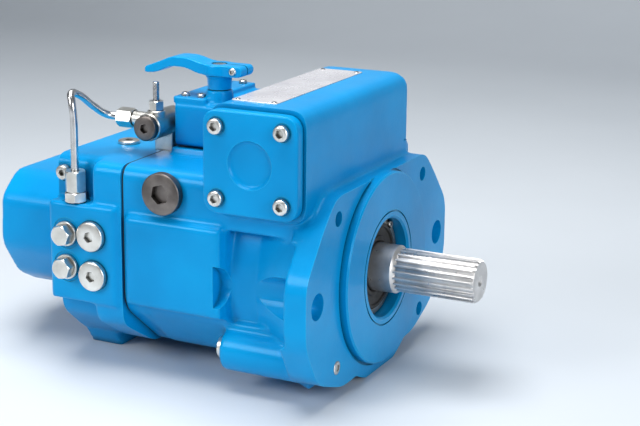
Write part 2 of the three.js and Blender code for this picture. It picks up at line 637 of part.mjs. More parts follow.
function upperNut() {
  const { x, y, z } = VALVE;
  const nut = hex('x', 14, x - 32, x - 18 - GAP, y, z + 4);
  return cut(nut, tube('x', PIPE_R + GAP + 0.3, x - 33, x - 17, y, z + 4, 14));
}

function lowerNut() {
  const nut = hex('z', 15, LEDGE + 8 + GAP, LEDGE + 25, FITTING.x, FITTING.y);
  return cut(nut, tube('z', PIPE_R + GAP, LEDGE, LEDGE + 30, FITTING.x, FITTING.y, 14));
}

function portFitting() {
  const base = hex('z', 16, LEDGE + GAP, LEDGE + 8, FITTING.x, FITTING.y, 0);
  return cut(base.add(tube('z', 4, LEDGE - 12, LEDGE + 1, FITTING.x, FITTING.y, 14)),
    tube('z', 3.4, LEDGE + 4, LEDGE + 9, FITTING.x, FITTING.y, 14));
}

// ---- Small external pieces
function drainPlug() {
  const { rear, y, z } = LOWER_BOSS;
  const head = rod('x', 8, 9, rear - GAP - 6, rear - GAP, y, z, 20);
  const shank = tube('x', 6, rear - 1, rear + 12, y, z, 16);
  return cut(head.add(shank), hex('x', 6, rear - 8, rear - 3, y, z));
}

// ---- Assembly
piece('housing', housing(), paint());
piece('port_plate', portPlate(), paint());
piece('port_gasket', gasket(), paper());
piece('charge_pump_housing', chargeHousing(), paint());
piece('charge_pump_cover', chargeCover(), paint());
piece('servo_cover_near', servoCover(SERVO.near - GAP - COVER.thick, SERVO.near - GAP, -1), paint());
piece('servo_cover_far', servoCover(SERVO.far + GAP, SERVO.far + GAP + COVER.thick, 1), paint());
SCREW_CORNERS.forEach(([u, v], i) => piece(`servo_cover_screw_${i + 1}`, coverScrew(u, v), zinc()));
piece('side_plug', sidePlug(), black());
piece('test_port_plug', testPlug(), zinc());
piece('drain_plug', drainPlug(), zinc());
Object.entries(SIDE_PLUGS).forEach(([name, { x, z, kind }]) =>
  piece(name, kind === 'hex' ? hexPlug(x, z) : socketPlug(x, z), zinc()));

piece('control_housing', controlHousing(), paint());
piece('control_lever', controlLever(), paint());
piece('lever_shaft', leverShaft(), steel());
piece('control_spool', controlSpool(), steel());
piece('cutoff_valve_body', valveBody(), zinc());
piece('cutoff_valve_plug', valvePlug(), black());
piece('setting_screw', settingScrew(), steel());
piece('setting_locknut', settingLocknut(), zinc());
piece('pressure_pipe', pressurePipe(), steel());
piece('pipe_nut_upper', upperNut(), zinc());
piece('pipe_nut_lower', lowerNut(), zinc());
piece('pipe_fitting', portFitting(), zinc());

piece('drive_shaft', driveShaft(), steel());
piece('shaft_seal', shaftSeal(), rubber());
piece('retaining_ring', retainingRing(), iron());
piece('front_bearing', bearing(BEARING.front, 17.7, BEARING.frontR), steel());
piece('rear_bearing', bearing(BEARING.rear, 12.5, BEARING.rearR), steel());
piece('cylinder_block', cylinderBlock(), iron());
piece('valve_plate', valvePlate(), bronze());
piece('swashplate', swashplate(), iron());
piece('servo_piston', servoPiston(), steel());
piece('charge_rotor', gerotorRotor(), steel());
piece('charge_ring', gerotorRing(), iron()).position.set(0, GEROTOR.offset, 0);
piece('retaining_plate', retainingPlate(), steel()).position.set(TILT_X, 0, 0);
for (let i = 0; i < PISTONS.count; i += 1) {
  const place = new THREE.Vector3(TILT_X, ...onPitchCircle(pistonAngle(i)));
  piece(`piston_${i + 1}`, piston(), steel()).position.copy(place);
  piece(`slipper_${i + 1}`, slipper(), bronze()).position.copy(place);
}

pump.position.set(-(SPLINE.end + COVER_REAR) / 2, 0, AXIS_HEIGHT);
const part = new THREE.Group();
part.add(pump);
export default part;
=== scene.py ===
"""The looks of the axial piston pump: cast, painted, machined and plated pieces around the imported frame.

Shapes are written in the pump's own frame, in millimetres: the shaft axis is X, the mounting flange's
front face is X = 0 and Z is up. place() turns them into the frame's metres.
"""
import math

import bmesh
import bpy
from mathutils import Matrix, Vector
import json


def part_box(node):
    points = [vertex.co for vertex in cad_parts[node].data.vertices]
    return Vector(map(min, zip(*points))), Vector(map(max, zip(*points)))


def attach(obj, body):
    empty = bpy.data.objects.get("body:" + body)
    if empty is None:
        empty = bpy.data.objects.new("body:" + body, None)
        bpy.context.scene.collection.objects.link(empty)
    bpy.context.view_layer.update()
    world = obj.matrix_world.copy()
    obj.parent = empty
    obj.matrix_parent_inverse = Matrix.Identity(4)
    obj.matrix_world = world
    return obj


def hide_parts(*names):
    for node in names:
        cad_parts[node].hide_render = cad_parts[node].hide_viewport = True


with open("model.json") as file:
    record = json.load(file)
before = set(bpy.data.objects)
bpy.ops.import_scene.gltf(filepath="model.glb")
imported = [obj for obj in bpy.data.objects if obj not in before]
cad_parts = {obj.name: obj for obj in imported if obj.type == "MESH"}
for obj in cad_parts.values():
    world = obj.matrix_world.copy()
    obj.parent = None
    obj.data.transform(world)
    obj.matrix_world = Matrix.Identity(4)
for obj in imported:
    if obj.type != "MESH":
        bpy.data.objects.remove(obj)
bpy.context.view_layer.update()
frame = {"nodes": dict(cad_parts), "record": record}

MM = 0.001
SPLINE_END = 82.0
SHAFT_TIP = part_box("drive_shaft")[1].x
AXIS_Z = (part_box("cylinder_block")[0].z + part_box("cylinder_block")[1].z) / 2
ORIGIN = Vector((SHAFT_TIP - SPLINE_END * MM, 0.0, AXIS_Z))
FLOOR = -AXIS_Z / MM


def node_span(node):
    """A node's box in pump millimetres: its low and its high corner."""
    low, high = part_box(node)
    return (Vector(low) - ORIGIN) / MM, (Vector(high) - ORIGIN) / MM


def middle(node):
    low, high = node_span(node)
    return (low + high) / 2


# Driving dimensions of the pieces that are made again here, finer than the frame's own.
GAP = 0.3                 # clearance between touching pieces
FLANGE_BACK = -24.0
PILOT_R, PILOT_HEIGHT = 76.2, 6.0
SEAL_RECESS_R = 39.5
EAR_HOLE_Y, EAR_HOLE_R, EAR_SPOT_R = 114.3, 10.3, 17.0
BODY_REAR = -172.0
TILT_X, CAVITY_R, CRADLE_R = -100.0, 64.0, 60.4
SIDE_PLUG_X, SIDE_PLUG_Z = -135.0, 67.0
DRAIN_Y, DRAIN_Z = -93.0, -52.0

SERVO_X, SERVO_Z, SERVO_BORE = middle("servo_piston").x, middle("servo_piston").z, 28.6
SERVO_NEAR, SERVO_FAR = node_span("servo_cover_near")[1].y + GAP, node_span("servo_cover_far")[0].y - GAP
BOX_X, BOX_Z = (-92.0, -13.0), (58.0, 142.0)
COVER_HALF, COVER_THICK = 39.0, 10.0
COVER_SCREW, COVER_SCREW_HOLE_R = 27.0, 4.4

PORT_FRONT, PORT_REAR = node_span("port_plate")[1].x, -240.0
PORT_SIDE, LEDGE, WORK_PORT_FACE = -110.0, 50.0, 108.0
TEST_PORT_X, TEST_PORT_Z = -233.5, 70.0
CHARGE_REAR, COVER_REAR = node_span("charge_pump_housing")[0].x, node_span("charge_pump_cover")[0].x
INLET_X, INLET_FACE = -284.0, 94.0

CONTROL_TOP = 130.0
LEVER_THICK, LEVER_REACH = 8.5, 63.0
LEVER_X, LEVER_Y = node_span("control_lever")[0].x + LEVER_REACH, middle("control_lever").y
LEVER_Z = node_span("lever_shaft")[1].z - LEVER_THICK + 0.5
VALVE_X, VALVE_Y, VALVE_Z = -171.5, -58.0, 107.0
FITTING_X, FITTING_Y = middle("pipe_fitting").x, middle("pipe_fitting").y

PISTON_COUNT, PISTON_PITCH = 9, 42.0
COLLAR_R = 19.0
SPLINE_TEETH, SPLINE_OUTER_R, SPLINE_ROOT_R = 21, 17.25, 15.4

CAST_VOXEL = 1.7          # grain of the cast bodies
CAST_ROUNDS = 7           # smoothing rounds, which make the casting's corner radii
CAST_EXTRA = 8.0          # stock left on a machined face, cut off after the smoothing
SIDES = 72                # sides of a large round
CORNERS = [(-1, 1), (1, 1), (-1, -1), (1, -1)]


# ---- Mesh tools
def place(x, y, z):
    return Vector((x, y, z)) * MM + ORIGIN


def mesh_object(name, verts, faces):
    mesh = bpy.data.meshes.new(name)
    mesh.from_pydata([place(*v) for v in verts], [], faces)
    mesh.update()
    obj = bpy.data.objects.new(name, mesh)
    bpy.context.scene.collection.objects.link(obj)
    turn_outwards(obj)
    return obj


def turn_outwards(obj):
    work = bmesh.new()
    work.from_mesh(obj.data)
    bmesh.ops.remove_doubles(work, verts=work.verts, dist=1e-7)
    bmesh.ops.recalc_face_normals(work, faces=work.faces)
    work.to_mesh(obj.data)
    work.free()


def on_axis(axis, along, u, v):
    """A point from its distance along an axis and its pair across it: (y, z), (x, z) or (x, y)."""
    return {"x": (along, u, v), "y": (u, along, v), "z": (u, v, along)}[axis]


def lathe(name, axis, profile, u=0.0, v=0.0, sides=SIDES):
    """A solid of revolution from pairs (along, radius).

    The pairs start and end on the axis, or they close on themselves.
    """
    verts, rings = [], []
    for along, radius in profile:
        if radius < 1e-6:
            rings.append([len(verts)])
            verts.append(on_axis(axis, along, u, v))
            continue
        rings.append(list(range(len(verts), len(verts) + sides)))
        for i in range(sides):
            t = 2 * math.pi * i / sides
            verts.append(on_axis(axis, along, u + radius * math.cos(t), v + radius * math.sin(t)))
    pairs = list(zip(rings, rings[1:]))
    if profile[0][1] > 1e-6:
        pairs.append((rings[-1], rings[0]))
    faces = []
    for a, b in pairs:
        for i in range(sides):
            j = (i + 1) % sides
            if len(a) == 1 and len(b) == 1:
                continue
            if len(a) == 1:
                faces.append((a[0], b[j], b[i]))
            elif len(b) == 1:
                faces.append((a[i], a[j], b[0]))
            else:
                faces.append((a[i], a[j], b[j], b[i]))
    return mesh_object(name, verts, faces)


def rod(name, axis, r0, r1, a, b, u=0.0, v=0.0, sides=SIDES, chamfer=0.0):
    if chamfer:
        profile = [(a, 0), (a, r0 - chamfer), (a + chamfer, r0), (b - chamfer, r1), (b, r1 - chamfer),
                   (b, 0)]
    else:
        profile = [(a, 0), (a, r0), (b, r1), (b, 0)]
    return lathe(name, axis, profile, u, v, sides)


def rounded(points, radius, steps=5):
    """A closed outline with its corners rounded by quadratic curves."""
    outline = []
    for i, point in enumerate(points):
        corner = Vector(point)
        before = Vector(points[i - 1]) - corner
        after = Vector(points[(i + 1) % len(points)]) - corner
        reach = min(radius, before.length / 2.1, after.length / 2.1)
        start = corner + before.normalized() * reach
        end = corner + after.normalized() * reach
        for k in range(steps + 1):
            t = k / steps
            outline.append(start * (1 - t) ** 2 + corner * 2 * t * (1 - t) + end * t * t)
    return outline


def prism(name, axis, points, a, b, radius=6.0, edge=0.0):
    """An outline across an axis, extruded from a to b, with its two end edges chamfered by edge."""
    outline = rounded(points, radius) if radius else [Vector(p) for p in points]
    centre = sum(outline, Vector((0, 0))) / len(outline)
    levels = [(a, edge), (a + edge, 0), (b - edge, 0), (b, edge)] if edge else [(a, 0), (b, 0)]
    verts, count = [], len(outline)
    for along, inset in levels:
        for p in outline:
            q = p - (p - centre).normalized() * inset
            verts.append(on_axis(axis, along, q.x, q.y))
    faces = [tuple(range(count)), tuple(range(len(verts) - count, len(verts)))]
    for level in range(len(levels) - 1):
        for i in range(count):
            j = (i + 1) % count
            base = level * count
            faces.append((base + i, base + j, base + count + j, base + count + i))
    return mesh_object(name, verts, faces)


def block(name, x0, x1, y0, y1, z0, z1, radius=0.0, edge=0.0):
    return prism(name, "z", [(x0, y0), (x1, y0), (x1, y1), (x0, y1)], z0, z1, radius, edge)


def hexagon(name, axis, flats, a, b, u, v, turn=0.0, chamfer=0.8):
    """A hexagonal prism whose corners are turned off at both ends."""
    r = flats / math.sqrt(3)
    points = [(u + r * math.cos(turn + i * math.pi / 3), v + r * math.sin(turn + i * math.pi / 3))
              for i in range(6)]
    body = prism(name, axis, points, a, b, 0)
    if not chamfer:
        return body
    low = flats / 2 + 0.1
    barrel = lathe("barrel", axis, [(a, 0), (a, low), (a + chamfer, r + 0.2), (b - chamfer, r + 0.2),
                                    (b, low), (b, 0)], u, v, 48)
    return combine(body, "INTERSECT", barrel)


def apply_modifiers(obj):
    graph = bpy.context.evaluated_depsgraph_get()
    made = bpy.data.meshes.new_from_object(obj.evaluated_get(graph))
    old = obj.data
    obj.modifiers.clear()
    obj.data = made
    bpy.data.meshes.remove(old)
    return obj


def combine(target, how, *tools):
    """Joins, cuts or intersects target with each tool, and removes the tools."""
    for tool in tools:
        step = target.modifiers.new(how, "BOOLEAN")
        step.operation = how
        step.solver = "MANIFOLD"
        step.object = tool
        apply_modifiers(target)
        bpy.data.objects.remove(tool)
    return target


def join(target, *tools):
    return combine(target, "UNION", *tools)


def cut(target, *tools):
    return combine(target, "DIFFERENCE", *tools)


def cast(obj, voxel=CAST_VOXEL, rounds=CAST_ROUNDS):
    """Gives a body the soft corners and fillets of a sand casting."""
    remesh = obj.modifiers.new("grain", "REMESH")
    remesh.mode = "VOXEL"
    remesh.voxel_size = voxel * MM
    smooth = obj.modifiers.new("corners", "SMOOTH")
    smooth.factor = 0.6
    smooth.iterations = rounds
    return apply_modifiers(obj)


def finish_piece(obj, name, body, slot, material, *nodes, angle=32.0):
    """Names a piece, shades it, gives it its material and ties it to the frame."""
    obj.name = name
    obj.data.name = name
    obj.data.materials.clear()
    obj.data.materials.append(material)
    for polygon in obj.data.polygons:
        polygon.use_smooth = True
        polygon.material_index = 0
    obj.data.set_sharp_from_angle(angle=math.radians(angle))
    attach(obj, body)
    if nodes:
        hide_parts(*nodes)
    return obj


# ---- Materials
def node_material(name):
    material = bpy.data.materials.new(name)
    material.use_nodes = True
    tree = material.node_tree
    return material, tree, tree.nodes["Principled BSDF"]


def add(tree, kind, **sockets):
    node = tree.nodes.new(kind)
    for key, value in sockets.items():
        node.inputs[key.replace("_", " ")].default_value = value
    return node


def coordinates(tree):
    return tree.nodes.new("ShaderNodeTexCoord").outputs["Object"]


def noise(tree, source, scale, detail=4.0, stretch=None):
    node = add(tree, "ShaderNodeTexNoise", Scale=scale, Detail=detail)
    if stretch:
        mapping = tree.nodes.new("ShaderNodeMapping")
        mapping.inputs["Scale"].default_value = stretch
        tree.links.new(source, mapping.inputs["Vector"])
        source = mapping.outputs["Vector"]
    tree.links.new(source, node.inputs["Vector"])
    return node.outputs["Fac"]


def ramp(tree, source, *stops):
    node = tree.nodes.new("ShaderNodeValToRGB")
    elements = node.color_ramp.elements
    while len(elements) < len(stops):
        elements.new(0.5)
    for element, (at, colour) in zip(elements, stops):
        element.position = at
        element.color = (*colour, 1.0)
    tree.links.new(source, node.inputs["Fac"])
    return node.outputs["Color"]


def spread(tree, source, low, high):
    """Maps 0..1 to low..high."""
    node = tree.nodes.new("ShaderNodeMapRange")
    node.inputs["To Min"].default_value = low
    node.inputs["To Max"].default_value = high
    tree.links.new(source, node.inputs["Value"])
    return node.outputs["Result"]


def bump(tree, shader, *layers):
    """Stacks (height, distance in mm, strength) layers on the shader's normal."""
    last = None
    for height, distance, strength in layers:
        node = tree.nodes.new("ShaderNodeBump")
        node.inputs["Distance"].default_value = distance * MM
        node.inputs["Strength"].default_value = strength
        tree.links.new(height, node.inputs["Height"])
        if last:
            tree.links.new(last, node.inputs["Normal"])
        last = node.outputs["Normal"]
    tree.links.new(last, shader.inputs["Normal"])


def edge_mask(tree, radius, low, high):
    """1 where the surface turns within radius mm, so on edges and corners, and 0 on flats."""
    bevel = tree.nodes.new("ShaderNodeBevel")
    bevel.samples = 4
    bevel.inputs["Radius"].default_value = radius * MM
    compare = tree.nodes.new("ShaderNodeVectorMath")
    compare.operation = "DOT_PRODUCT"
    tree.links.new(bevel.outputs["Normal"], compare.inputs[0])
    tree.links.new(tree.nodes.new("ShaderNodeNewGeometry").outputs["Normal"], compare.inputs[1])
    node = tree.nodes.new("ShaderNodeMapRange")
    node.inputs["From Min"].default_value = low
    node.inputs["From Max"].default_value = high
    tree.links.new(compare.outputs["Value"], node.inputs["Value"])
    return node.outputs["Result"]


def painted_crevice_shade(tree, source, reach, dark):
    """Painted shade: darkens a colour where the surface is closed in within reach mm, so in sockets, grooves
    and seams.
    """
    node = tree.nodes.new("ShaderNodeAmbientOcclusion")
    node.samples = 6
    node.inputs["Distance"].default_value = reach * MM
    shade = ramp(tree, node.outputs["AO"], (0.25, (dark, dark, dark)), (0.80, (1.0, 1.0, 1.0)))
    mix = tree.nodes.new("ShaderNodeMix")
    mix.data_type = "RGBA"
    mix.blend_type = "MULTIPLY"
    mix.inputs["Factor"].default_value = 1.0
    tree.links.new(source, mix.inputs["A"])
    tree.links.new(shade, mix.inputs["B"])
    return mix.outputs["Result"]


def paint_material():
    """Glossy blue enamel over sand-cast iron: orange peel, casting grain, a painted highlight that makes the
    edges paler, and painted shade in creases and seams.
    """
    material, tree, shader = node_material("blue_enamel")
    at = coordinates(tree)
    broad = noise(tree, at, 9.0, 3.0)
    colour = ramp(tree, broad, (0.3, (0.0, 0.215, 0.50)), (0.5, (0.0, 0.265, 0.60)),
                  (0.72, (0.0, 0.32, 0.68)))
    # Painted highlight: the edges take a paler blue.
    painted_edge_highlight = tree.nodes.new("ShaderNodeMix")
    painted_edge_highlight.data_type = "RGBA"
    painted_edge_highlight.inputs["B"].default_value = (0.02, 0.37, 0.66, 1.0)
    tree.links.new(edge_mask(tree, 1.1, 0.99, 0.88), painted_edge_highlight.inputs["Factor"])
    tree.links.new(colour, painted_edge_highlight.inputs["A"])
    # Painted shade darkens the colour in creases, seams and sockets.
    tree.links.new(painted_crevice_shade(tree, painted_edge_highlight.outputs["Result"], 7.0, 0.35), shader.inputs["Base Color"])
    tree.links.new(spread(tree, noise(tree, at, 34.0), 0.24, 0.42), shader.inputs["Roughness"])
    shader.inputs["Metallic"].default_value = 0.0
    shader.inputs["Specular IOR Level"].default_value = 0.28
    shader.inputs["Specular Tint"].default_value = (0.22, 0.72, 1.0, 1.0)
    shader.inputs["Coat Weight"].default_value = 0.10
    shader.inputs["Coat Roughness"].default_value = 0.16
    bump(tree, shader, (noise(tree, at, 55.0, 3.0), 1.1, 0.20), (noise(tree, at, 420.0, 2.0), 0.16, 0.35),
         (noise(tree, at, 1500.0, 1.0), 0.05, 0.25))
    return material


def metal_material(name, dark, light, rough, scale=60.0, stretch=None, scratch=0.35, metallic=1.0):
    """A bare or plated metal: mottled colour, uneven gloss, fine turning or drawing marks, a painted
    highlight that brightens the edges, and painted shade in sockets and grooves.
    """
    material, tree, shader = node_material(name)
    at = coordinates(tree)
    mottle = ramp(tree, noise(tree, at, scale), (0.32, dark), (0.68, light))
    # Painted highlight: the edges take a brighter colour.
    bright = tree.nodes.new("ShaderNodeMix")
    bright.data_type = "RGBA"
    bright.inputs["B"].default_value = (*[min(1.0, c * 1.25 + 0.03) for c in light], 1.0)
    tree.links.new(edge_mask(tree, 0.6, 0.99, 0.86), bright.inputs["Factor"])
    tree.links.new(mottle, bright.inputs["A"])
    # Painted shade darkens the colour in sockets and grooves.
    tree.links.new(painted_crevice_shade(tree, bright.outputs["Result"], 3.0, 0.06), shader.inputs["Base Color"])
    gloss = spread(tree, noise(tree, at, scale * 2.3), *rough)
    tree.links.new(gloss, shader.inputs["Roughness"])
    shader.inputs["Metallic"].default_value = metallic
    marks = noise(tree, at, 900.0, 2.0, stretch) if stretch else noise(tree, at, 900.0, 2.0)
    bump(tree, shader, (marks, 0.05, scratch))
    return material


def rubber_material(name, dark, light):
    material, tree, shader = node_material(name)
    at = coordinates(tree)
    tree.links.new(ramp(tree, noise(tree, at, 80.0), (0.3, dark), (0.7, light)), shader.inputs["Base Color"])
    tree.links.new(spread(tree, noise(tree, at, 140.0), 0.55, 0.8), shader.inputs["Roughness"])
    bump(tree, shader, (noise(tree, at, 700.0), 0.08, 0.4))
    return material


PAINT = paint_material()
ZINC = metal_material("zinc_plate_look", (0.56, 0.545, 0.50), (0.80, 0.79, 0.75), (0.24, 0.42))
STEEL = metal_material("bright_steel_look", (0.50, 0.49, 0.485), (0.72, 0.71, 0.70), (0.16, 0.34))
SHAFT_STEEL = metal_material("shaft_steel_look", (0.47, 0.455, 0.445), (0.72, 0.70, 0.685), (0.22, 0.38),
                             stretch=(0.04, 1.0, 1.0), metallic=0.75)
DARK = metal_material("black_oxide_look", (0.10, 0.088, 0.082), (0.24, 0.215, 0.20), (0.32, 0.5))
IRON = metal_material("machined_iron_look", (0.30, 0.275, 0.245), (0.52, 0.485, 0.44), (0.36, 0.55))
BRONZE = metal_material("bronze_look", (0.42, 0.25, 0.09), (0.62, 0.41, 0.18), (0.26, 0.42))
PLATE = metal_material("plate_look", (0.74, 0.72, 0.75), (0.90, 0.88, 0.90), (0.2, 0.34), 30.0,
                       stretch=(1.0, 0.03, 1.0), scratch=0.12, metallic=0.55)
RUBBER = rubber_material("seal_look", (0.018, 0.017, 0.016), (0.045, 0.042, 0.04))
GASKET = rubber_material("gasket_look", (0.010, 0.014, 0.02), (0.025, 0.032, 0.042))
SLOT_LOOKS = {
    "blue_paint": PAINT, "zinc_plate": ZINC, "bright_steel": STEEL, "dark_plug": DARK, "grey_iron": IRON,
    "bronze": BRONZE, "seal_rubber": RUBBER, "gasket_sheet": GASKET,
}


# ---- Housing
def flange_outline():
    return [(84, 75), (105, 55), (133, 24), (133, -22), (105, -57), (66, -73), (-70, -77), (-112, -62),
            (-133, -26), (-133, 20), (-104, 56), (-84, 75)]


def clipped_rod(r0, r1, a, b, low, high):
    body = rod("round", "x", r0, r1, a, b, sides=120)
    return combine(body, "INTERSECT", block("clip", a - 5, b + 5, -140, 140, low, high))


def side_relief(side):
    """What is cut behind an ear, down to a shallow bulge."""
    low, high = sorted((side * 70, side * 140))
    relief = block("relief", -82, -19, low, high, -30, 44)
    return cut(relief, rod("bulge", "x", 112, 112, -84, -18, -side * 15, 0, 160))


def housing_casting():
    body = prism("housing", "x", flange_outline(), FLANGE_BACK, CAST_EXTRA, 11)
    join(
        body,
        clipped_rod(88, 88, FLANGE_BACK, CAST_EXTRA, FLOOR, 75),
        prism("main", "x", [(-104, 84), (-104, -26), (-62, -69), (-30, -77), (30, -77), (62, -69), (98, -26),
                            (98, 84)], -158, -20, 12),
        prism("collar", "x", [(-104, 84), (-104, -30), (-50, -74), (50, -74), (98, -30), (98, 84)],
              BODY_REAR - CAST_EXTRA, -157, 12),
    )
    for side in (-1, 1):
        cut(body, side_relief(side))
    join(
        body,
        clipped_rod(96, 116, -62, FLANGE_BACK + 4, -78, 75),
        prism("panel", "x", [(-110, 44), (-110, -25), (-97, -28), (-97, 51)], -168, -84, 2),
        rod("boss", "x", 17, 17, -86, -20, DRAIN_Y, DRAIN_Z),
        block("pad", -161, -96, -53, 37, 70, 89.6, 4),
        block("rest", -40, -20, -26, 26, FLOOR, -70),
        prism("servo", "y", [(BOX_X[0], BOX_Z[0]), (BOX_X[1], BOX_Z[0]), (BOX_X[1], BOX_Z[1]),
                             (BOX_X[0], BOX_Z[1])], SERVO_NEAR - CAST_EXTRA, SERVO_FAR + CAST_EXTRA, 13),
    )
    cast(body)
    return cut(
        body,
        block("front", 0, 60, -160, 160, -120, 180),
        block("rear", BODY_REAR - 40, BODY_REAR, -160, 160, -120, 180),
        block("near", BOX_X[0] - 9, BOX_X[1] + 9, SERVO_NEAR - 40, SERVO_NEAR, 57, 160),
        block("far", BOX_X[0] - 9, BOX_X[1] + 9, SERVO_FAR, SERVO_FAR + 90, 86, 160),
        block("under", -170, 40, -160, 160, FLOOR - 40, FLOOR),
    )


def pilot():
    profile = [(-2, 0), (-2, PILOT_R), (PILOT_HEIGHT - 1.2, PILOT_R), (PILOT_HEIGHT, PILOT_R - 1.2),
               (PILOT_HEIGHT, 0)]
    return lathe("pilot", "x", profile, sides=160)


def ring_groove(r0, r1, x0, x1):
    return lathe("groove", "x", [(x0, r0), (x0, r1), (x1, r1), (x1, r0)], sides=160)


def housing_machining(body):
    join(body, pilot())
    cut(
        body,
        lathe("recess", "x", [(-9, 0), (-9, SEAL_RECESS_R), (PILOT_HEIGHT - 1.6, SEAL_RECESS_R),
                              (PILOT_HEIGHT + 1, SEAL_RECESS_R + 2.6), (PILOT_HEIGHT + 1, 0)], sides=120),
        ring_groove(44.5, 46.0, PILOT_HEIGHT - 1.2, PILOT_HEIGHT + 1),
        ring_groove(PILOT_R + 0.01, PILOT_R + 2.0, -1.4, 1),
        rod("seat", "x", 36.3, 36.3, -44, -8, sides=96),
        rod("cavity", "x", CAVITY_R, CAVITY_R, BODY_REAR - 1, TILT_X, sides=96),
        rod("cradle", "z", CRADLE_R, CRADLE_R, -57, 57, TILT_X, 0, 128),
        rod("bore", "y", SERVO_BORE, SERVO_BORE, SERVO_NEAR - 1, SERVO_FAR + 1, SERVO_X, SERVO_Z, 96),
        block("window", -91, SERVO_X + 12, -24, 24, 50, SERVO_Z - 10),
        rod("plug_seat", "y", 17.6, 17.6, -112, -104.2, SIDE_PLUG_X, SIDE_PLUG_Z),
        rod("plug_bore", "y", 13.4, 13.4, -112, -60, SIDE_PLUG_X, SIDE_PLUG_Z, 48),
        rod("drain", "x", 6.5, 6.5, -87, -70, DRAIN_Y, DRAIN_Z, 32),
    )
    for side in (-1, 1):
        cut(body, rod("ear", "x", EAR_HOLE_R, EAR_HOLE_R, -90, 1, side * EAR_HOLE_Y, 0, 48),
            rod("spot", "x", EAR_SPOT_R, EAR_SPOT_R, -90, FLANGE_BACK, side * EAR_HOLE_Y, 0, 48))
    for y, z in [(-80, 58), (80, 58), (80, -58)]:
        cut(body, rod("corner", "x", 6, 6, -18, 1, y, z, 32))
    for u, v in CORNERS:
        for face in (SERVO_NEAR, SERVO_FAR):
            cut(body, rod("screw", "y", COVER_SCREW_HOLE_R, COVER_SCREW_HOLE_R, face - 16, face + 16,
                          SERVO_X + u * COVER_SCREW, SERVO_Z + v * COVER_SCREW, 24))
    return body


def make_housing():
    body = housing_machining(housing_casting())
    finish_piece(body, "housing_casting", "root", "blue_paint", PAINT, "housing", angle=38)


# ---- Servo covers
def cover_dish(face, outward):
    """The shallow round dish cast into a cover, with a rounded floor corner."""
    inward = -outward
    profile = [(face + outward, 0), (face + outward, 18.9), (face + inward * 0.3, 18.1),
               (face + inward * 2.1, 17.0), (face + inward * 2.8, 15.6), (face + inward * 3.0, 13.6),
               (face + inward * 3.0, 0)]
    return lathe("dish", "y", profile, SERVO_X, SERVO_Z, 96)


def servo_cover(name, y0, y1, outward, node):
    points = [(SERVO_X - COVER_HALF, SERVO_Z - COVER_HALF), (SERVO_X + COVER_HALF, SERVO_Z - COVER_HALF),
              (SERVO_X + COVER_HALF, SERVO_Z + COVER_HALF), (SERVO_X - COVER_HALF, SERVO_Z + COVER_HALF)]
    plate = prism(name, "y", points, y0, y1, 13)
    face = y0 if outward < 0 else y1
    cast(plate, 0.9, 5)
    inner = y1 if outward < 0 else y0
    for u, v in CORNERS:
        x, z = SERVO_X + u * COVER_SCREW, SERVO_Z + v * COVER_SCREW
        cut(plate, rod("hole", "y", COVER_SCREW_HOLE_R, COVER_SCREW_HOLE_R, y0 - 9, y1 + 9, x, z, 24),
            rod("spot", "y", 7.2, 7.2, *sorted((face + outward * 3, face - outward * 0.5)), x, z, 40))
    low, high = sorted((inner, inner - outward * 20))
    cut(plate, block("flat", BOX_X[0] - 9, BOX_X[1] + 9, low, high, 50, 150), cover_dish(face, outward))
    return finish_piece(plate, name, "root", "blue_paint", PAINT, node, angle=38)


def socket_screw(name, axis, head_r, head, sign, face, u, v, key, shank_r=0.0, depth=0.0, body="root",
                 look=None, slot="zinc_plate", nodes=()):
    """A screw or plug head standing on a face, with a hexagon socket. sign is the way the head points."""
    top = face + sign * head
    profile = [(face, 0), (face, head_r - 0.3), (face + sign * 0.4, head_r),
               (top - sign * 0.9, head_r - 0.1), (top - sign * 0.25, head_r - 0.6), (top, head_r - 1.2),
               (top, 0)]
    screw = lathe(name, axis, profile, u, v, 56)
    if shank_r:
        join(screw, rod("shank", axis, shank_r, shank_r, *sorted((face - sign * depth, face + sign * 0.5)),
                        u, v, 32))
    low, high = sorted((top + sign, top - sign * head * 0.6))
    cut(screw, hexagon("key", axis, key, low, high, u, v, 0.3, 0))
    return finish_piece(screw, name, body, slot, look or ZINC, *nodes)


def make_servo_covers():
    near_out = SERVO_NEAR - GAP - COVER_THICK
    far_out = SERVO_FAR + GAP + COVER_THICK
    servo_cover("servo_cover_near_cast", near_out, SERVO_NEAR - GAP, -1, "servo_cover_near")
    servo_cover("servo_cover_far_cast", SERVO_FAR + GAP, far_out, 1, "servo_cover_far")
    for i, (u, v) in enumerate(CORNERS):
        x, z = SERVO_X + u * COVER_SCREW, SERVO_Z + v * COVER_SCREW
        socket_screw(f"near_cover_screw_{i + 1}", "y", 5.9, 5, -1, near_out - 0.05, x, z, 6, 4,
                     COVER_THICK + 14, nodes=(f"servo_cover_screw_{i + 1}",))
        socket_screw(f"far_cover_screw_{i + 1}", "y", 5.9, 5, 1, far_out + 0.05, x, z, 6)


